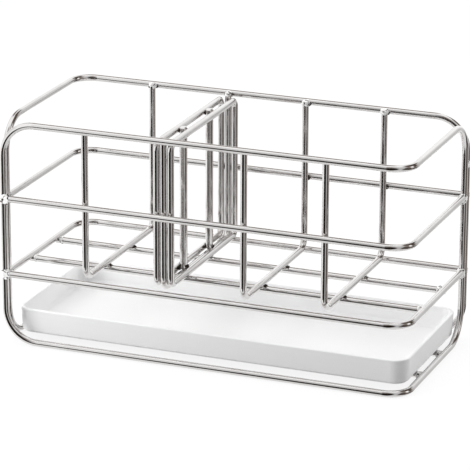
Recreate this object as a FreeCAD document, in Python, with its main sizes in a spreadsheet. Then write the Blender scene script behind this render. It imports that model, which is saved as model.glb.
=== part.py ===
import FreeCAD, Part
import math
import os
import re
import Sketcher
from FreeCAD import Placement, Rotation, Vector

# A kitchen sink caddy of welded round wire. Two folded hoops carry the rails, U-shaped basket wires and
# lengthwise wires are welded inside them, a loose divider straddles one basket wire, and a moulded drip
# tray lies on the two base wires.
# Axes: +X along the length (right, seen from the front), -Y to the front, +Z up.
# The origin is under the middle of the caddy, on the surface that it stands on.

# Driving dimensions in millimetres
SIZES = {
    "wire_diameter": 3.5,         # one gauge of wire throughout
    "overall_length": 220,        # outside of the left end to outside of the right end
    "overall_depth": 98,          # outside of the front to outside of the back
    "overall_height": 120,        # standing surface to the top of the top rails
    "mid_rail_height": 78,        # standing surface to the centre line of the middle rails
    "floor_rail_height": 37.5,    # standing surface to the centre line of the floor rails
    "corner_bend_radius": 17,     # bend between a hoop's post and its rails, on the centre line
    "fold_bend_radius": 11,       # fold between a long run and an end run, on the centre line
    "weld_gap": 0.05,             # room for the weld between two welded wires
    "clearance": 0.3,             # room between a loose piece and what it lies against
    "basket_wire_pitch": 43,      # from one U-shaped wire to the next
    "basket_wire_rise": 1.5,      # back end of a U-shaped wire above the centre line of the top rail
    "basket_bend_radius": 6,      # lower bends of a U-shaped wire, on the centre line
    "floor_wire_spacing": 32,     # between the two lengthwise wires of the basket floor
    "floor_wire_drop": 1.3,       # centre line of the floor wires below that of the floor rails
    "base_wire_spacing": 32,      # between the two lengthwise wires under the tray
    "divider_drop": 2.4,          # centre line of the divider's top below that of the top rails
    "divider_bend_radius": 3.5,   # bends of a divider loop, on the centre line
    "divider_bar_spacing": 35,    # between the two upright bars of the divider
    "wire_end_chamfer": 0.5,      # broken edge of a free wire end
    "tray_depth": 85,             # outside of the tray at its rim
    "tray_setback": 2.5,          # middle of the tray behind the middle of the caddy
    "tray_height": 13,
    "tray_inset": 0.8,            # how much each side of the tray draws in from its rim to its foot
    "tray_wall": 2,
    "tray_floor": 1.8,
    "tray_corner_radius": 8,      # upright corners of the tray at its rim
    "tray_foot_radius": 1.5,      # rounding under the tray
    "tray_inner_radius": 2,       # rounding between the tray's floor and its walls
    "tray_rim_radius": 0.7,       # rounding of the tray's rim
}

# Sizes and places that follow from the driving dimensions
DERIVED = {
    "wire_radius": "wire_diameter / 2",
    "weld_step": "wire_diameter + weld_gap",             # between two wires welded side by side
    "loose_step": "wire_diameter + clearance",           # between two wires that slide on each other
    "cope_radius": "wire_radius + weld_gap",             # hollow end of a wire that is butted on another
    "frame_length": "overall_length - wire_diameter",    # between the planes of the two ends
    "frame_depth": "overall_depth - wire_diameter",      # between the planes of the front and the back
    "hoop_depth": "frame_depth - weld_step",             # a hoop's end run stops at the other hoop's post
    "base_level": "wire_radius",
    "top_level": "overall_height - wire_radius",
    "floor_wire_level": "floor_rail_height - floor_wire_drop",
    "basket_floor": "floor_wire_level + weld_step",      # the U-shaped wires lie on the floor wires
    "basket_back_top": "top_level + basket_wire_rise",   # the front end is level with its rail
    "basket_half_depth": "frame_depth / 2 - weld_step",
    "bar_foot": "basket_floor + wire_radius + clearance",    # the divider stands on the wire it straddles
    "loop_floor": "bar_foot",
    "loop_top": "top_level - divider_drop",
    "loop_half_depth": "frame_depth / 2 - loose_step",
    "bar_radius": "loose_step - cope_radius",            # a bar fills the slot between the two loops
    "bar_top": "loop_top + wire_radius",
    "tray_level": "base_level + wire_radius + clearance",
    "tray_length": "frame_length - wire_diameter - clearance * 2",    # the tray passes between the posts
}
BASKET_WIRE_COUNT = 4
DIVIDED_WIRE = 2    # the basket wire that the divider straddles, counted from the left
QUARTER_TURN = 90
HALF_TURN = 180

# Numbers by which a sketch knows the points of its lines, arcs and circles
START, END, CENTRE = range(1, 4)

doc = FreeCAD.newDocument("SinkCaddy")
sheet = doc.addObject("Spreadsheet::Sheet", "Dimensions")
for row, (alias, size) in enumerate(SIZES.items(), start=1):
    sheet.set(f"A{row}", alias)
    sheet.set(f"B{row}", str(size))
    sheet.setAlias(f"B{row}", alias)
doc.recompute()


def expression(text):
    """Write out a sum of size names as an expression on the sheet's cells."""
    def one_name(match):
        name = match.group()
        return f"({expression(DERIVED[name])})" if name in DERIVED else f"Dimensions.{name}"
    return re.sub(r"[a-z]\w*", one_name, text)


def value(text):
    """The length in millimetres that a sum of size names gives."""
    return float(sheet.evalExpression(expression(text)))


def new_body(name, x="0", y="0", z="0", turn=0):
    """An empty sub-part at a place given as sums of size names, turned about the vertical."""
    body = doc.addObject("PartDesign::Body", name)
    body.Label = name
    body.Placement = Placement(Vector(), Rotation(Vector(0, 0, 1), turn))
    for axis, place in (("x", x), ("y", y), ("z", z)):
        body.setExpression(f"Placement.Base.{axis}", expression(place))
    return body


def origin_plane(body, role):
    """One of the three planes of a body's own origin."""
    return next(feature for feature in body.Origin.OriginFeatures if feature.Role == role)


def new_sketch(body, name, plane, across="0", up="0", out="0"):
    """A sketch on one of the body's own planes, moved across and up in that plane and out of it."""
    sketch = body.newObject("Sketcher::SketchObject", f"{body.Name}_{name}")
    sketch.AttachmentSupport = (origin_plane(body, plane), [""])
    sketch.MapMode = "FlatFace"
    for axis, offset in (("x", across), ("y", up), ("z", out)):
        sketch.setExpression(f"AttachmentOffset.Base.{axis}", expression(offset))
    return sketch


def tie(sketch, *constraint, to=None):
    """Add one constraint, and bind its length to a sum of size names if it has one."""
    index = sketch.addConstraint(Sketcher.Constraint(*constraint))
    if to:
        sketch.setExpression(f"Constraints[{index}]", expression(to))


def pin(sketch, geometry, point, axis, place):
    """Hold a point of a line, arc or circle at a place along one axis of its sketch."""
    x_axis, y_axis = -1, -2
    if place == "0":
        tie(sketch, "PointOnObject", geometry, point, y_axis if axis == "X" else x_axis)
    else:
        tie(sketch, f"Distance{axis}", x_axis, START, geometry, point, value(place), to=place)


def draw_circle(sketch, x, y, radius):
    """Draw a circle with its centre and radius given as sums of size names."""
    centre = Vector(value(x), value(y), 0)
    circle = sketch.addGeometry(Part.Circle(centre, Vector(0, 0, 1), value(radius)))
    pin(sketch, circle, CENTRE, "X", x)
    pin(sketch, circle, CENTRE, "Y", y)
    tie(sketch, "Radius", circle, value(radius), to=radius)


def draw_bent_line(sketch, corners, bend, closed=False):
    """Draw square runs from corner to corner, joined by tangent arcs of the bend's radius."""
    points = [Vector(value(x), value(y), 0) for x, y in corners]
    radius = value(bend)
    count = len(points)
    run_count = count if closed else count - 1
    lines = []
    for index in range(run_count):
        following = (index + 1) % count
        along = (points[following] - points[index]).normalize()
        start = points[index] + along * radius if closed or index else points[index]
        end = points[following] - along * radius if closed or index < run_count - 1 else points[following]
        line = sketch.addGeometry(Part.LineSegment(start, end))
        lines.append(line)
        level = corners[index][1] == corners[following][1]
        tie(sketch, "Horizontal" if level else "Vertical", line)
        pin(sketch, line, START, "Y" if level else "X", corners[index][1 if level else 0])
        if not closed and index == 0:
            pin(sketch, line, START, "X" if level else "Y", corners[index][0 if level else 1])
        if not closed and index == run_count - 1:
            pin(sketch, line, END, "X" if level else "Y", corners[following][0 if level else 1])
    for index in range(0 if closed else 1, run_count):
        before, after = lines[index - 1], lines[index]
        inward = (points[index] - points[index - 1]).normalize()
        outward = (points[(index + 1) % count] - points[index]).normalize()
        centre = points[index] + (outward - inward) * radius
        left_turn = inward.cross(outward).z > 0
        spoke = outward * -1 if left_turn else inward
        angle = math.atan2(spoke.y, spoke.x)
        circle = Part.Circle(centre, Vector(0, 0, 1), radius)
        arc = sketch.addGeometry(Part.ArcOfCircle(circle, angle, angle + math.radians(QUARTER_TURN)))
        tie(sketch, "Tangent", before, END, arc, START if left_turn else END)
        tie(sketch, "Tangent", arc, END if left_turn else START, after, START)
        tie(sketch, "Radius", arc, radius, to=bend)


def sweep(body, profile, path):
    """Bend a wire along a path sketch."""
    pipe = body.newObject("PartDesign::AdditivePipe", f"{path.Name}_wire")
    pipe.Profile = profile
    pipe.Spine = (path, [])
    doc.recompute()


def cope(body, sketch):
    """Hollow the ends of a wire with the circles of a sketch, so that they fit round other wires."""
    volume_before = body.Shape.Volume
    pocket = body.newObject("PartDesign::Pocket", f"{body.Name}_cope")
    pocket.Profile = sketch
    pocket.SideType = "Symmetric"
    pocket.Type = "ThroughAll"
    doc.recompute()
    if body.Shape.Volume >= volume_before:
        raise RuntimeError(f"{body.Label}: the ends were not hollowed")


def break_ends(body):
    """Break the sharp edge round each flat end of a wire."""
    flat_ends = [face for face in body.Shape.Faces if isinstance(face.Surface, Part.Plane)]
    edges = [edge for face in flat_ends for edge in face.Edges]
    dress_edges(body, "Chamfer", "Size", "wire_end_chamfer", edges)


def dress_edges(body, kind, setting, size, chosen):
    """Fillet or chamfer the chosen edges of the body's shape."""
    names = [
        f"Edge{number}"
        for number, edge in enumerate(body.Shape.Edges, start=1)
        if any(edge.isSame(pick) for pick in chosen)
    ]
    base = body.Tip
    feature = body.newObject(f"PartDesign::{kind}", f"{body.Name}_{size}")
    feature.Base = (base, names)
    feature.setExpression(setting, expression(size))
    body.Tip = feature
    doc.recompute()


def build_hoop(name, x, y, turn):
    """A closed hoop in two planes: a long run and an end run, folded where the two planes meet."""
    body = new_body(name, x, y, turn=turn)

    long_profile = new_sketch(body, "long_profile", "YZ_Plane", out="-fold_bend_radius")
    draw_circle(long_profile, "0", "base_level", "wire_radius")
    long_path = new_sketch(body, "long_path", "XZ_Plane")
    draw_bent_line(long_path, [
        ("-fold_bend_radius", "base_level"),
        ("-frame_length", "base_level"),
        ("-frame_length", "top_level"),
        ("-fold_bend_radius", "top_level"),
    ], "corner_bend_radius")
    sweep(body, long_profile, long_path)

    fold_profile = new_sketch(body, "fold_profile", "YZ_Plane", "fold_bend_radius", out="-fold_bend_radius")
    for level in ("base_level", "top_level"):
        draw_circle(fold_profile, "-fold_bend_radius", level, "wire_radius")
    folds = body.newObject("PartDesign::Revolution", f"{name}_folds")
    folds.Profile = fold_profile
    folds.ReferenceAxis = (fold_profile, ["V_Axis"])
    folds.Angle = QUARTER_TURN
    doc.recompute()

    end_profile = new_sketch(body, "end_profile", "XZ_Plane", out="-fold_bend_radius")
    draw_circle(end_profile, "0", "base_level", "wire_radius")
    end_path = new_sketch(body, "end_path", "YZ_Plane")
    draw_bent_line(end_path, [
        ("fold_bend_radius", "base_level"),
        ("hoop_depth", "base_level"),
        ("hoop_depth", "top_level"),
        ("fold_bend_radius", "top_level"),
    ], "corner_bend_radius")
    sweep(body, end_profile, end_path)
    return body


def build_rail(name, x, y, level, turn):
    """A wire with one fold, butted on the two posts of its hoop."""
    body = new_body(name, x, y, level, turn)
    profile = new_sketch(body, "profile", "YZ_Plane", out="-frame_length")
    draw_circle(profile, "0", "0", "wire_radius")
    path = new_sketch(body, "path", "XY_Plane")
    draw_bent_line(path, [("-frame_length", "0"), ("0", "0"), ("0", "hoop_depth")], "fold_bend_radius")
    sweep(body, profile, path)
    posts = new_sketch(body, "posts", "XY_Plane")
    draw_circle(posts, "-frame_length", "0", "cope_radius")
    draw_circle(posts, "0", "hoop_depth", "cope_radius")
    cope(body, posts)
    return body


def build_basket_wire(name, x):
    """A U-shaped wire, welded to the inner side of the rails."""
    body = new_body(name, x)
    profile = new_sketch(body, "profile", "XY_Plane", out="top_level")
    draw_circle(profile, "0", "-basket_half_depth", "wire_radius")
    path = new_sketch(body, "path", "YZ_Plane")
    draw_bent_line(path, [
        ("-basket_half_depth", "top_level"),
        ("-basket_half_depth", "basket_floor"),
        ("basket_half_depth", "basket_floor"),
        ("basket_half_depth", "basket_back_top"),
    ], "basket_bend_radius")
    sweep(body, profile, path)
    break_ends(body)
    return body


def build_lengthwise_wire(name, y, level, rail_rise):
    """A straight wire from end to end, with its ends hollowed to fit the end rails."""
    body = new_body(name, y=y, z=level)
    profile = new_sketch(body, "profile", "YZ_Plane")
    draw_circle(profile, "0", "0", "wire_radius")
    pad = body.newObject("PartDesign::Pad", f"{name}_wire")
    pad.Profile = profile
    pad.SideType = "Symmetric"
    pad.setExpression("Length", expression("frame_length"))
    doc.recompute()
    rails = new_sketch(body, "rails", "XZ_Plane")
    for place in ("-frame_length / 2", "frame_length / 2"):
        draw_circle(rails, place, rail_rise, "cope_radius")
    cope(body, rails)
    return body


def build_divider_loop(name, x):
    """A closed loop of wire, bent as one half and its mirror image."""
    body = new_body(name, x)
    profile = new_sketch(body, "profile", "XZ_Plane")
    draw_circle(profile, "0", "loop_top", "wire_radius")
    path = new_sketch(body, "path", "YZ_Plane")
    draw_bent_line(path, [
        ("0", "loop_top"),
        ("-loop_half_depth", "loop_top"),
        ("-loop_half_depth", "loop_floor"),
        ("0", "loop_floor"),
    ], "divider_bend_radius")
    sweep(body, profile, path)
    front_half = body.Tip
    mirror = body.newObject("PartDesign::Mirrored", f"{name}_back_half")
    mirror.Originals = [front_half]
    mirror.MirrorPlane = (origin_plane(body, "XZ_Plane"), [""])
    body.Tip = mirror
    doc.recompute()
    return body


def build_divider_bar(name, x, y):
    """An upright bar between the two loops of the divider."""
    body = new_body(name, x, y)
    profile = new_sketch(body, "profile", "XY_Plane", out="bar_foot")
    draw_circle(profile, "0", "0", "bar_radius")
    pad = body.newObject("PartDesign::Pad", f"{name}_wire")
    pad.Profile = profile
    pad.setExpression("Length", expression("bar_top - bar_foot"))
    doc.recompute()
    break_ends(body)
    return body


def draw_tray_outline(body, name, level, margin):
    """The tray's rounded outline at a level, drawn in from the rim's outline by a margin."""
    sketch = new_sketch(body, name, "XY_Plane", out=level)
    half_length = f"tray_length / 2 - ({margin})"
    half_depth = f"tray_depth / 2 - ({margin})"
    draw_bent_line(sketch, [
        (f"-({half_length})", f"-({half_depth})"),
        (half_length, f"-({half_depth})"),
        (half_length, half_depth),
        (f"-({half_length})", half_depth),
    ], f"tray_corner_radius - ({margin})", closed=True)
    return sketch


def build_tray(name):
    """A moulded tray with drawn-in sides, an even wall, rounded corners and a soft rim."""
    body = new_body(name, y="tray_setback", z="tray_level")
    outside = body.newObject("PartDesign::AdditiveLoft", f"{name}_outside")
    outside.Profile = draw_tray_outline(body, "foot", "0", "tray_inset")
    outside.Sections = [draw_tray_outline(body, "rim", "tray_height", "0")]
    outside.Ruled = True
    doc.recompute()
    inside = body.newObject("PartDesign::SubtractiveLoft", f"{name}_inside")
    inside.Profile = draw_tray_outline(body, "floor", "tray_floor", "tray_inset + tray_wall")
    inside.Sections = [draw_tray_outline(body, "mouth", "tray_height", "tray_wall")]
    inside.Ruled = True
    body.Tip = inside
    doc.recompute()
    for level, radius in (
        ("0", "tray_foot_radius"),
        ("tray_floor", "tray_inner_radius"),
        ("tray_height", "tray_rim_radius"),
    ):
        height = value(f"tray_level + {level}")
        round_the_level = [
            edge
            for edge in body.Shape.Edges
            if all(math.isclose(vertex.Z, height) for vertex in edge.Vertexes)
        ]
        dress_edges(body, "Fillet", "Radius", radius, round_the_level)
    return body


right, left = "frame_length / 2", "-frame_length / 2"
back, front = "frame_depth / 2", "-frame_depth / 2"
bodies = [
    build_hoop("front_hoop", right, front, 0),
    build_hoop("back_hoop", left, back, HALF_TURN),
]
for rail, level in (("mid_rail", "mid_rail_height"), ("floor_rail", "floor_rail_height")):
    bodies.append(build_rail(f"front_{rail}", right, front, level, 0))
    bodies.append(build_rail(f"back_{rail}", left, back, level, HALF_TURN))

basket_places = [
    f"basket_wire_pitch * {number - (BASKET_WIRE_COUNT + 1) / 2}"
    for number in range(1, BASKET_WIRE_COUNT + 1)
]
for number, place in enumerate(basket_places, start=1):
    bodies.append(build_basket_wire(f"basket_wire_{number}", place))

for wire, level, rail_rise in (
    ("floor_wire", "floor_wire_level", "floor_wire_drop"),
    ("base_wire", "base_level", "0"),
):
    for side, sign in (("front", "-"), ("back", "")):
        place = f"{sign}{wire}_spacing / 2"
        bodies.append(build_lengthwise_wire(f"{wire}_{side}", place, level, rail_rise))

divider_place = basket_places[DIVIDED_WIRE - 1]
bodies.append(build_divider_loop("divider_left_loop", f"{divider_place} - loose_step"))
bodies.append(build_divider_loop("divider_right_loop", f"{divider_place} + loose_step"))
bodies.append(build_divider_bar("divider_front_bar", divider_place, "-divider_bar_spacing / 2"))
bodies.append(build_divider_bar("divider_back_bar", divider_place, "divider_bar_spacing / 2"))
bodies.append(build_tray("drip_tray"))
doc.recompute()

for item in doc.Objects:
    if "Invalid" in item.State or "Error" in item.State:
        raise RuntimeError(f"{item.Label} failed: {item.State}")
for body in bodies:
    if body.Shape.isNull() or not body.Shape.isValid() or len(body.Shape.Solids) != 1:
        raise RuntimeError(f"{body.Label} is not one sound solid")

os.makedirs("parts", exist_ok=True)
for body in bodies:
    body.Shape.exportStep(f"parts/{body.Label}.step")
    print(f"{body.Label}: {body.Shape.Volume:.1f} cubic millimetres")
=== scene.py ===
# %% [markdown]
# # A sink caddy of polished wire
# The caddy is a welded basket of round stainless wire with a loose divider and a white drip tray under it.
# Its shapes are already exact in the packed model, so this lesson is mostly about finish and light:
# polished wire has hardly any colour of its own, and looks right only when the studio round it is right.

# %% Load the packed caddy
import math
import random

import bmesh
import bpy
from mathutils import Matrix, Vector, noise


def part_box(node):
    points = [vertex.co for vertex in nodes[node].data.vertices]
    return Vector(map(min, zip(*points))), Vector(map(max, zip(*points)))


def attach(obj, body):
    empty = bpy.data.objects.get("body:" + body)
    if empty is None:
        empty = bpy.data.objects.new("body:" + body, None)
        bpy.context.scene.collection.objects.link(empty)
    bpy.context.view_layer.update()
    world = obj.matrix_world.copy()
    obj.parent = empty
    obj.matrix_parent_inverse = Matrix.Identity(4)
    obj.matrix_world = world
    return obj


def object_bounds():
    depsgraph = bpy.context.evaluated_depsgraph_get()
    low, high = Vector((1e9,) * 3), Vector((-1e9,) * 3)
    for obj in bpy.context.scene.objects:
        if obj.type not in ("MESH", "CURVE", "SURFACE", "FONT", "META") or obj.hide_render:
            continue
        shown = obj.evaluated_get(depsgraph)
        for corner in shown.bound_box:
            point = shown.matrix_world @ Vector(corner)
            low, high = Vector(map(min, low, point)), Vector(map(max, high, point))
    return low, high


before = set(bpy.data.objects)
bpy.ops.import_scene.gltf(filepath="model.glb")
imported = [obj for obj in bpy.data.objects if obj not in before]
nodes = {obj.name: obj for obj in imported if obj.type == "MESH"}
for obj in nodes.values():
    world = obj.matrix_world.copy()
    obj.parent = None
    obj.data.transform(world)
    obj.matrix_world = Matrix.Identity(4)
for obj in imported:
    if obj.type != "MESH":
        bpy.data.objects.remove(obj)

cad_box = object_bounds()
MM = 0.001
print("caddy in mm:", [round(side / MM, 1) for side in cad_box[1] - cad_box[0]])

# %% [markdown]
# ## Sums on sockets
# A finish is a network of nodes. Wiring each Math node by hand hides the idea, so one small class wraps a
# socket and lets Python's own operators add the Math nodes. Every other node comes from its method `make`.


# %% A socket that can be reckoned with
class Tone:
    """One output socket in a node tree, or the bare tree when it has no socket yet."""

    def __init__(self, tree, socket=None):
        self.tree = tree
        self.socket = socket

    def make(self, kind, settings=(), sockets=(), output=0):
        """Add a node, set it up, fill or link its input sockets, and hand back one of its outputs."""
        node = self.tree.nodes.new(f"ShaderNode{kind}")
        for name, setting in dict(settings).items():
            if name == "stops":
                self.set_stops(node.color_ramp, setting)
            else:
                setattr(node, name, setting)
        for name, given in dict(sockets).items():
            if isinstance(given, Tone):
                self.tree.links.new(given.socket, node.inputs[name])
            else:
                node.inputs[name].default_value = given
        return Tone(self.tree, node.outputs[output])

    @staticmethod
    def set_stops(ramp, stops):
        """Give a colour ramp its places and colours."""
        while len(ramp.elements) < len(stops):
            ramp.elements.new(1)
        for element, (place, colour) in zip(ramp.elements, stops):
            element.position = place
            element.color = (*colour, 1)

    def reckon(self, operation, first, second=0.0):
        """Add one Math node."""
        return self.make("Math", {"operation": operation}, {0: first, 1: second})

    def __add__(self, other):
        return self.reckon("ADD", self, other)

    def __sub__(self, other):
        return self.reckon("SUBTRACT", self, other)

    def __rsub__(self, other):
        return self.reckon("SUBTRACT", other, self)

    def __mul__(self, other):
        return self.reckon("MULTIPLY", self, other)

    def __truediv__(self, other):
        return self.reckon("DIVIDE", self, other)

    def __pow__(self, other):
        return self.reckon("POWER", self, other)

    def __neg__(self):
        return self.reckon("MULTIPLY", self, -1.0)

    def above_zero(self):
        return self.reckon("MAXIMUM", self, 0.0)

    def split(self):
        """The three parts of a vector."""
        node = self.make("SeparateXYZ", sockets={"Vector": self}).socket.node
        return [Tone(self.tree, part) for part in node.outputs]

    def ease(self, low, high):
        """Goes smoothly from 0 to 1 while this value goes from low to high."""
        return self.make("MapRange", {"interpolation_type": "SMOOTHSTEP"}, {
            "Value": self, "From Min": low, "From Max": high,
        })

    def blend(self, first, second):
        """The first colour where this value is 0, the second where it is 1."""
        return self.make("Mix", {"data_type": "RGBA"}, {"Factor": self, "A": first, "B": second}, 2)

    def speckle(self, scale, detail):
        """Noise over this place, with about so many spots in a metre."""
        return self.make("TexNoise", sockets={"Vector": self, "Scale": scale, "Detail": detail})

    __radd__ = __add__
    __rmul__ = __mul__


print("a tone can:", ", ".join(name for name in vars(Tone) if not name.startswith("_")))


# %% A tree to start from
def blank_tree(owner):
    """An owner's node tree with only its output node left."""
    owner.use_nodes = True
    tree = owner.node_tree
    for node in list(tree.nodes):
        if not node.type.startswith("OUTPUT"):
            tree.nodes.remove(node)
    return Tone(tree), next(node for node in tree.nodes if node.type.startswith("OUTPUT"))


def surface(tree, output, shader):
    """Link a shader to the output, and say how large the tree has become."""
    tree.tree.links.new(shader.socket, output.inputs["Surface"])
    print("a tree of", len(tree.tree.nodes), "nodes")


def even_grey(level):
    """A colour without any tint."""
    return level, level, level, 1


WHITE = even_grey(1.0)
print("white is", WHITE)

# %% [markdown]
# ## The camera
# The photograph looks down on the front right corner through a long lens. The angles and the distance were
# worked out from the straight wires of the photograph. Blender's camera looks along its own -Z, so the
# direction is turned into a rotation with a track quaternion.

# %% Camera at the photograph's angle
AZIMUTH, ELEVATION, ROLL = math.radians(21.46), math.radians(18.55), math.radians(0.235)
AIM = Vector((0.0001, -0.0008, 0.0576))
CAMERA_DISTANCE = 1.6101
LENS = 240.6

back = Vector((
    math.sin(AZIMUTH) * math.cos(ELEVATION),
    -math.cos(AZIMUTH) * math.cos(ELEVATION),
    math.sin(ELEVATION),
))
camera_data = bpy.data.cameras.new("camera")
camera_data.lens = LENS
camera = bpy.data.objects.new("camera", camera_data)
camera.location = AIM + back * CAMERA_DISTANCE
camera.rotation_euler = (-back).to_track_quat("-Z", "Y").to_euler()
camera.rotation_euler.rotate_axis("Z", ROLL)
bpy.context.scene.collection.objects.link(camera)
bpy.context.scene.camera = camera
print("camera at", [round(part, 3) for part in camera.location])

# %% [markdown]
# ## The studio
# Polished metal is a mirror, so the studio is drawn from what the wires show in the photograph. An upright
# wire mirrors the whole ring of the room just below the horizon: pale on the left, black in front, grey on
# the right. A level rail mirrors one slice, from the floor in front over the ceiling to the wall behind,
# and a fold sweeps from the front round to the back. Put together, they give the room in three rings, each
# with its own greys round the caddy, between a pale floor and a white ceiling. Boards and lamps could be
# stood round the caddy instead, but rings are easier to tune, because each wire reads them at a known
# height.

# %% Greys and directions of the room
FULL_TURN = 360
ROOM_LEVEL, CEILING_LEVEL, UNDERFOOT_LEVEL = 1.14, 1.02, 0.78
WARM_BELOW, MORE_RED, LESS_BLUE = 0.5, 0.7, 0.4


def grey(level):
    """A grey that is a little warm where it is dark."""
    warmth = max(WARM_BELOW - level, 0.0)
    return level * (1 + MORE_RED * warmth), level, level * (1 - LESS_BLUE * warmth)


def as_turn(degrees):
    """Degrees from the front, towards the right end, as a share of a turn that starts at the back."""
    return degrees / FULL_TURN + 0.5


CEILING, UNDERFOOT = ((*grey(level * ROOM_LEVEL), 1) for level in (CEILING_LEVEL, UNDERFOOT_LEVEL))
print("front, right end and back as turns:", [as_turn(degrees) for degrees in (0, 90, 180)])

# %% The three rings of the room
# Degrees from the front, with the right end at 90, and how light the room is there.
RINGS = {
    "below": [
        (-180, 0.95), (-150, 1.0), (-12, 1.0), (0, 0.4), (22, 0.52), (50, 0.52), (59, 0.05), (94, 0.05),
        (102, 0.26), (112, 0.24), (118, 0.12), (126, 0.26), (136, 0.46), (144, 0.54), (158, 0.52),
        (168, 0.64), (177, 0.95), (180, 0.95),
    ],
    "above": [
        (-180, 1.05), (-166, 0.98), (-155, 0.98), (-120, 0.8), (-64, 0.78), (-46, 1.06), (-26, 1.1),
        (-18, 0.42), (-10, 0.08), (8, 0.06), (16, 0.3), (26, 0.46), (62, 0.46), (68, 0.08), (78, 0.08),
        (86, 0.2), (94, 0.2), (98, 1.3), (109, 1.3), (113, 0.03), (130, 0.03), (135, 0.2), (141, 0.55),
        (148, 0.66), (156, 0.66), (164, 0.86), (172, 1.02), (180, 1.05),
    ],
    "high": [
        (-180, 1.0), (-166, 1.0), (-161, 0.15), (-134, 0.15), (-118, 1.05), (-60, 1.05), (-40, 1.0),
        (-20, 0.5), (0, 0.2), (24, 0.45), (50, 0.68), (72, 0.68), (90, 0.15), (112, 0.1), (150, 0.06),
        (163, 0.05), (171, 0.7), (176, 1.0), (180, 1.0),
    ],
}


def ring_colours(tree, turn, name):
    """Greys round the caddy, from the back over the left, the front and the right."""
    stops = [(as_turn(degrees), grey(level * ROOM_LEVEL)) for degrees, level in RINGS[name]]
    return tree.make("ValToRGB", {"stops": stops}, {"Fac": turn})


print("stops in the rings:", {name: len(stops) for name, stops in RINGS.items()})

# %% The mirrored room
# Between which heights one ring passes into the next, from -1 straight down to 1 straight up.
UNDERFOOT_TO_BELOW, BELOW_TO_ABOVE = (-0.78, -0.5), (-0.24, 0.34)
ABOVE_TO_HIGH, HIGH_TO_CEILING = (0.4, 0.54), (0.88, 0.95)

world = bpy.data.worlds.new("studio")
bpy.context.scene.world = world
tree, output = blank_tree(world)
across, along, up = tree.make("TexCoord", output="Generated").split()
turn = tree.reckon("ARCTAN2", across, -along) / (2 * math.pi) + 0.5
mirrored = up.ease(*UNDERFOOT_TO_BELOW).blend(UNDERFOOT, ring_colours(tree, turn, "below"))
mirrored = up.ease(*BELOW_TO_ABOVE).blend(mirrored, ring_colours(tree, turn, "above"))
mirrored = up.ease(*ABOVE_TO_HIGH).blend(mirrored, ring_colours(tree, turn, "high"))
mirrored = up.ease(*HIGH_TO_CEILING).blend(mirrored, CEILING)
print("rings of the room:", ", ".join(RINGS))

# %% [markdown]
# ### Black cards
# A photographer sets black cards near polished metal, so that it shows against white. Three are drawn here:
# a tall leaning one in front, which makes the first black stripe of the uprights, a low narrow one beside
# it, which makes the dark line along the rails, and one low down past the right end, which shades the feet
# of the basket wires. Each is an ellipse on the mirrored room, and its soft edge comes from easing the
# ellipse's sum.

# %% Black cards in the mirrored room
CARD_LEVEL, CARD_EDGE_END = 0.012, 1.2
CARD_COLOUR = (*grey(CARD_LEVEL), 1)
# Degrees from the front and half the width in degrees, height and half the height, lean per turn, soft edge.
CARDS = {
    "uprights": {
        "degrees": 4, "half_width": 34, "height": -0.06, "half_height": 0.66, "lean": 2.2, "edge": 0.6,
    },
    "rails": {
        "degrees": -26, "half_width": 21, "height": -0.315, "half_height": 0.075, "lean": 0, "edge": 0.8,
    },
    "feet": {
        "degrees": 118, "half_width": 38, "height": -0.54, "half_height": 0.15, "lean": 1.2, "edge": 0.5,
    },
}
for card in CARDS.values():
    sideways = turn - as_turn(card["degrees"])
    rise = up - card["height"] - sideways * card["lean"]
    off_card = (sideways / (card["half_width"] / FULL_TURN)) ** 2 + (rise / card["half_height"]) ** 2
    mirrored = off_card.ease(card["edge"], CARD_EDGE_END).blend(CARD_COLOUR, mirrored)
print("black cards for the", ", ".join(CARDS))

# %% [markdown]
# ### Plain light
# The mirrored room would light the tray in patches, so it is shown to glossy rays only. Other rays find a
# plain soft room, dimmed towards the front right, where the tray's corner is in shade. The camera finds
# white. A Light Path node tells the three kinds of ray apart.

# %% The plain room, and which ray finds which
PLAIN_LEVEL = 1.14
DIM_SIDE = Vector((0.7, -0.68, -0.22))

dim = (across * DIM_SIDE.x + along * DIM_SIDE.y + up * DIM_SIDE.z).above_zero()
plain = PLAIN_LEVEL * (1 - dim)
ray = tree.make("LightPath").socket.node.outputs
seen, glossy = Tone(tree.tree, ray["Is Camera Ray"]), Tone(tree.tree, ray["Is Glossy Ray"])
strength = glossy + (1 - glossy) * (plain + (1 - plain) * seen)
colour = glossy.blend(WHITE, mirrored)
surface(tree, output, tree.make("Background", sockets={"Color": colour, "Strength": strength}))

# %% [markdown]
# ## The table
# The table is plain white. It takes the caddy's soft shadow, lifted until it is as faint as in the
# photograph. Mirrors look through it, because the lowest ring of the room stands for it, and it gives the
# caddy less light than it shows to the camera, so that the walls of the tray stay darker than its floor.

# %% The table
TABLE_HALF = 4.0

bm = bmesh.new()
bmesh.ops.create_grid(bm, x_segments=1, y_segments=1, size=TABLE_HALF)
table_mesh = bpy.data.meshes.new("table")
bm.to_mesh(table_mesh)
bm.free()
table = bpy.data.objects.new("table", table_mesh)
bpy.context.scene.collection.objects.link(table)
table.visible_glossy = False
print("table", 2 * TABLE_HALF, "m square")

# %% Finish of the table
SHADOW_LIFT = 0.86
BOUNCE_GREY, MATT_GREY = even_grey(0.38), even_grey(0.96)

table_finish = bpy.data.materials.new("table")
tree, output = blank_tree(table_finish)
seen = tree.make("LightPath", output="Is Camera Ray")
bounce = tree.make("BsdfDiffuse", sockets={"Color": BOUNCE_GREY})
matt = tree.make("BsdfDiffuse", sockets={"Color": MATT_GREY})
white = tree.make("Emission", sockets={"Color": WHITE})
lifted = tree.make("MixShader", sockets={"Fac": SHADOW_LIFT, 1: matt, 2: white})
surface(tree, output, tree.make("MixShader", sockets={"Fac": seen, 1: bounce, 2: lifted}))
table.data.materials.append(table_finish)

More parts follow.
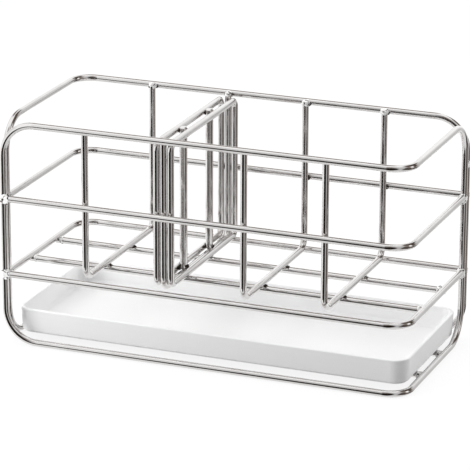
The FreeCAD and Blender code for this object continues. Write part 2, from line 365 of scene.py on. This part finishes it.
# %% [markdown]
# ## Softboxes
# Three rectangles of soft light shape the tray. The overhead one fills it and gives the faint shadow on the
# table. The left one lights the front of the tray, most at its left end. The right one stands behind the
# right end and lights the tray's end wall, so that the corner between the two walls stays darkest. Mirrors
# don't see them, because the drawn room already holds what the wires show.


# %% Three softboxes
def add_softbox(name, location, width, height, watts):
    """A rectangle of soft light that faces the middle of the caddy."""
    light = bpy.data.lights.new(name, "AREA")
    light.shape = "RECTANGLE"
    light.size, light.size_y = width, height
    light.energy = watts
    lamp = bpy.data.objects.new(name, light)
    lamp.location = location
    lamp.visible_camera = lamp.visible_glossy = False
    lamp.rotation_euler = (AIM - lamp.location).to_track_quat("-Z", "Y").to_euler()
    bpy.context.scene.collection.objects.link(lamp)
    print(name, "at", [round(part, 2) for part in lamp.location])


add_softbox("overhead_softbox", location=(-0.3, 0.15, 1.1), width=1.0, height=0.8, watts=3.2)
add_softbox("right_softbox", location=(0.5, 0.42, 0.16), width=0.3, height=0.2, watts=1.15)
add_softbox("left_softbox", location=(-0.34, -0.3, 0.13), width=0.2, height=0.2, watts=0.96)

# %% [markdown]
# ## Polished wire
# The wire is drawn stainless steel, polished bright after welding. A perfect mirror looks like a computer
# drawing, so two things are added: a faint waviness left by drawing and bending, which makes the mirrored
# lines wander, and fine cloudiness in the polish, which changes the roughness from place to place. The
# welds are the same steel, so one function makes all three finishes. The dressed welds are painted near
# white, a painted reflection of the bright room, with dark specks. The scorched welds are dark, partly from
# scorch and partly as painted shade, with white painted glints.

# %% Finish of the wire and of its welds
PATCH_DETAIL, WAVE_DETAIL = 2.0, 1.0
HAZE_SCALE, HAZE_DETAIL = 700.0, 4.0
WAVE_DEPTH = 0.2 * MM


def metal_finish(name, colour, patch_colour, patches, gloss, waves):
    """Steel with patches of another colour, cloudy roughness and a shallow waviness."""
    patch_scale, patch_start, patch_end = patches
    metallic, roughness, cloudiness = gloss
    wave_scale, wave_strength = waves
    material = bpy.data.materials.new(name)
    tree, output = blank_tree(material)
    place = tree.make("TexCoord", output="Object")
    patch = place.speckle(patch_scale, PATCH_DETAIL).ease(patch_start, patch_end)
    haze = place.speckle(HAZE_SCALE, HAZE_DETAIL)
    ripple = place.speckle(wave_scale, WAVE_DETAIL)
    wavy = tree.make("Bump", sockets={"Strength": wave_strength, "Distance": WAVE_DEPTH, "Height": ripple})
    surface(tree, output, tree.make("BsdfPrincipled", sockets={
        "Base Color": patch.blend((*colour, 1), (*patch_colour, 1)),
        "Metallic": metallic,
        "Roughness": roughness + haze * cloudiness,
        "Normal": wavy,
    }))
    return material


# %% The three finishes, and the wires that are polished
STEEL, DULL_STEEL = (0.762, 0.75, 0.743), (0.72, 0.703, 0.694)
# Near white: painted reflection and painted glints on the welds. Near black: scorch with painted shade, and
# specks.
PAINTED_REFLECTION_WHITE, SOOT_AND_PAINTED_SHADE = (0.95, 0.95, 0.94), (0.04, 0.029, 0.022)

wire_finish = metal_finish(
    "polished_wire", STEEL, DULL_STEEL,
    patches=(60, 0.38, 0.62), gloss=(1.0, 0.09, 0.07), waves=(110, 0.03),
)
# Dressed welds: near white as a painted reflection of the bright room, with dark specks.
dressed_glinting_finish = metal_finish(
    "dressed_glinting_weld", PAINTED_REFLECTION_WHITE, SOOT_AND_PAINTED_SHADE,
    patches=(700, 0.56, 0.61), gloss=(0.2, 0.3, 0.2), waves=(600, 0.8),
)
# Scorched welds: dark, partly scorch and partly painted shade, with white painted glints.
scorched_shaded_finish = metal_finish(
    "scorched_shaded_weld", SOOT_AND_PAINTED_SHADE, PAINTED_REFLECTION_WHITE,
    patches=(800, 0.57, 0.65), gloss=(0.9, 0.2, 0.2), waves=(600, 0.8),
)
for name, node in nodes.items():
    if name != "drip_tray":
        node.material_slots[0].material = wire_finish
print("polished wires:", len(nodes) - 1)

# %% [markdown]
# ## The drip tray's plastic
# The tray is moulded in white polypropylene. Its mould was spark-eroded, so the surface has a fine even
# grain that spreads the highlights, and the colour is a little uneven at a larger scale. Both are noise on
# Object coordinates, which needs no unwrapping and stays with the tray when it is lifted.

# %% Finish of the tray
TRAY_WHITE, TRAY_CLOUD = even_grey(0.93), (0.905, 0.905, 0.91, 1)
CLOUD_SCALE, GRAIN_SCALE, TRAY_DETAIL = 35.0, 2600.0, 2.0
TRAY_ROUGHNESS, GRAIN_ROUGHNESS = 0.38, 0.12
GRAIN_STRENGTH, GRAIN_DEPTH = 0.12, 0.05 * MM

tray_finish = bpy.data.materials.new("moulded_white")
tree, output = blank_tree(tray_finish)
place = tree.make("TexCoord", output="Object")
grain = place.speckle(GRAIN_SCALE, TRAY_DETAIL)
grainy = tree.make("Bump", sockets={"Strength": GRAIN_STRENGTH, "Distance": GRAIN_DEPTH, "Height": grain})
surface(tree, output, tree.make("BsdfPrincipled", sockets={
    "Base Color": place.speckle(CLOUD_SCALE, TRAY_DETAIL).blend(TRAY_WHITE, TRAY_CLOUD),
    "Roughness": TRAY_ROUGHNESS + grain * GRAIN_ROUGHNESS,
    "Normal": grainy,
}))
nodes["drip_tray"].material_slots[0].material = tray_finish

# %% [markdown]
# ## Welds
# Every wire is resistance welded where it meets another. Where two wires cross, the squeezed metal is a
# small cushion in the notch round the contact. Its dark is partly scorched polish and partly painted
# shade, flecked with white painted glints. Where a wire is butted on a post or a rail, it is a swollen lump
# that was dressed bright and is painted near white, a painted reflection, with dark specks. Both start as a
# ball that is flattened and then pushed about by noise, so that no two are alike. Nothing stands out past
# the outer faces, where the caddy was ground flush. The places come from the packed wires, so the welds
# follow them when a size is changed.

# %% Where the wires run
base_wire_low, base_wire_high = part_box("base_wire_front")
wire_radius = (base_wire_high.z - base_wire_low.z) / 2


def centre_lines(node):
    """Centre lines of the outermost runs of a node: its box drawn in by a wire's radius."""
    low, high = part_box(node)
    inset = Vector((wire_radius,) * 3)
    return low + inset, high - inset


frame_low, frame_high = centre_lines("front_hoop")
frame_high.y = centre_lines("back_hoop")[1].y
basket_wires = sorted(name for name in nodes if name.startswith("basket_wire_"))
rail_levels = {level: centre_lines(f"front_{level}_rail")[0].z for level in ("mid", "floor")}
rail_levels["top"] = frame_high.z
print("rail levels in mm:", {level: round(z / MM, 1) for level, z in rail_levels.items()})

# %% One lump of weld metal
WELD_SEED = 4
BALL_ROUNDNESS = 3
LUMPINESS, LUMPS, SHIFT = 0.3, 1.4, 9
# Slot 0: dressed lumps with a painted white reflection. Slot 1: dark lumps of scorch and painted shade.
DRESSED_GLINTING, SCORCHED_SHADED = 0, 1
chance = random.Random(WELD_SEED)


def add_lump(bm, finish, centre, radii):
    """An uneven flattened ball of weld metal, kept within the caddy's box. Its radii are in millimetres."""
    ball = bmesh.ops.create_icosphere(bm, subdivisions=BALL_ROUNDNESS, radius=1)["verts"]
    shift = Vector(chance.uniform(-SHIFT, SHIFT) for axis in "xyz")
    for vertex in ball:
        vertex.co *= 1 + LUMPINESS * noise.noise(vertex.co * LUMPS + shift)
        for axis in range(3):
            place = centre[axis] + vertex.co[axis] * radii[axis] * MM
            vertex.co[axis] = min(max(place, cad_box[0][axis]), cad_box[1][axis])
        for face in vertex.link_faces:
            face.material_index = finish


def beside(x, y, z, step, sign=1):
    """A place some millimetres from a point. A sign of -1 turns the step half a turn, for the back hoop."""
    return Vector((x + sign * step[0] * MM, y + sign * step[1] * MM, z + step[2] * MM))


# %% A finished piece of welds
def finish_welds(bm, name, body):
    """Turn the collected lumps into one smooth piece that rides on a body."""
    for face in bm.faces:
        face.smooth = True
    mesh = bpy.data.meshes.new(name)
    bm.to_mesh(mesh)
    bm.free()
    for finish in (dressed_glinting_finish, scorched_shaded_finish):
        mesh.materials.append(finish)
    piece = bpy.data.objects.new(name, mesh)
    bpy.context.scene.collection.objects.link(piece)
    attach(piece, body)
    print(name, len(mesh.polygons), "faces")


# %% [markdown]
# ### Basket wires
# Each U-shaped wire crosses the mid and the top rail at the front and at the back, and rests on the two
# floor wires. The crossings and the rests get dark lumps of scorch and painted shade. Its back end is
# dressed where it shows above the rail, and that lump is painted near white as a painted reflection. The
# wire that the divider straddles gets a slimmer lump there, so that the divider slides past it.

# %% Welds of the basket wires and the floor
CROSSING, CROSSING_STEP = (2.5, 0.8, 1.5), (0, 0, -0.4)
WIRE_END, SLIM_WIRE_END, WIRE_END_STEP = (2.2, 2.2, 2.1), (1.8, 2.2, 2.1), (0, 0.3, 0.1)
FLOOR_CROSSING = (2.4, 1.6, 0.8)
STRADDLED_WIRE = "basket_wire_2"

bm = bmesh.new()
for wire in basket_wires:
    low, high = centre_lines(wire)
    for level in ("mid", "top"):
        for wire_line, rail_line in ((low.y, frame_low.y), (high.y, frame_high.y)):
            contact = (wire_line + rail_line) / 2
            add_lump(bm, SCORCHED_SHADED, beside(low.x, contact, rail_levels[level], CROSSING_STEP), CROSSING)
    wire_end = SLIM_WIRE_END if wire == STRADDLED_WIRE else WIRE_END
    add_lump(bm, DRESSED_GLINTING, beside(low.x, high.y, frame_high.z, WIRE_END_STEP), wire_end)
    for side in ("front", "back"):
        under = centre_lines(f"floor_wire_{side}")[0]
        add_lump(bm, SCORCHED_SHADED, Vector((low.x, under.y, (low.z + under.z) / 2)), FLOOR_CROSSING)
finish_welds(bm, "basket_welds", "frame")

# %% [markdown]
# ### Rails
# A rail is butted on its hoop's post at one end and on its end post at the other, and both lumps were
# dressed and are painted near white, a painted reflection. Where the posts of the two hoops stand side by
# side, they are tied by dark metal under each rail, partly scorch and partly painted shade, and by one
# dressed lump near the top. The back is the front turned half a turn, so one loop with a sign serves both.

# %% Welds of the rails on the posts
BUTT, BUTT_STEP = (2.9, 2.2, 2.8), (0.8, -0.9, 0)
END_BUTT, END_BUTT_STEP = (2.3, 2.3, 3.0), (-0.1, -0.8, -0.5)
POST_SEAM, POST_SEAM_STEP = (1.5, 0.9, 2.6), (0, 0, -2.2)
POST_TIE, POST_TIE_STEP, POST_TIE_LEVEL = (1.9, 1.9, 2.2), (-0.6, 0, 0), 95 * MM

bm = bmesh.new()
for side, sign in (("front", 1), ("back", -1)):
    low, high = centre_lines(f"{side}_hoop")
    post, end_post = (low, high) if sign > 0 else (high, low)
    seam = (frame_low.y + centre_lines("back_hoop")[0].y) / 2 * sign
    for level in ("mid", "floor"):
        z = rail_levels[level]
        add_lump(bm, DRESSED_GLINTING, beside(post.x, post.y, z, BUTT_STEP, sign), BUTT)
        add_lump(bm, DRESSED_GLINTING, beside(end_post.x, end_post.y, z, END_BUTT_STEP, sign), END_BUTT)
        add_lump(bm, SCORCHED_SHADED, beside(post.x, seam, z, POST_SEAM_STEP), POST_SEAM)
    add_lump(bm, DRESSED_GLINTING, beside(post.x, seam, POST_TIE_LEVEL, POST_TIE_STEP, sign), POST_TIE)
print("faces so far:", len(bm.faces))

# %% Welds of the lengthwise wires on the end rails
END_STEP = 3.1 * MM
WIRE_BUTTS = {"floor": (1.5, 2.1, 2.0), "base": (1.5, 2.1, 1.8)}
WIRE_BUTT_STEPS = {"floor": (0, 0, 0.2), "base": (0, 0, 0)}

for level, radii in WIRE_BUTTS.items():
    for side in ("front", "back"):
        low = centre_lines(f"{level}_wire_{side}")[0]
        for x in (frame_low.x + END_STEP, frame_high.x - END_STEP):
            add_lump(bm, DRESSED_GLINTING, beside(x, low.y, low.z, WIRE_BUTT_STEPS[level]), radii)
finish_welds(bm, "rail_welds", "frame")

# %% [markdown]
# ### Divider
# Each upright bar of the divider is held between the two loops, by a scorched lump on each side at its foot
# and a small one at its top. Their dark is partly scorch and partly painted shade, with white painted
# glints. The front foot has the heaviest lumps, and those on the right are smaller. They ride on the
# divider, so they leave the basket with it.

# %% Welds of the divider
FOOT, FOOT_STEP = (1.0, 2.5, 2.0), (0, 0, 1.4)
TOP, TOP_STEP = (0.8, 1.8, 1.2), (0, 0, -0.3)
BAR_SHARES = {"divider_front_bar": 1.0, "divider_back_bar": 0.75}
LOOP_SHARES = {"divider_left_loop": 1.0, "divider_right_loop": 0.72}

bm = bmesh.new()
for bar, bar_share in BAR_SHARES.items():
    bar_low, bar_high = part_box(bar)
    bar_middle = (bar_low + bar_high) / 2
    for loop, loop_share in LOOP_SHARES.items():
        low, high = centre_lines(loop)
        x = (low.x + bar_middle.x) / 2
        share = bar_share * loop_share
        foot = (FOOT[0], FOOT[1] * share, FOOT[2] * share)
        add_lump(bm, SCORCHED_SHADED, beside(x, bar_middle.y, low.z, FOOT_STEP), foot)
        add_lump(bm, SCORCHED_SHADED, beside(x, bar_middle.y, high.z, TOP_STEP), TOP)
finish_welds(bm, "divider_welds", "divider")

# %% [markdown]
# ## Last lines
# The view transform is left plain, so that a colour comes out as it is written.

# %% Finish
bpy.context.scene.view_settings.view_transform = "Standard"
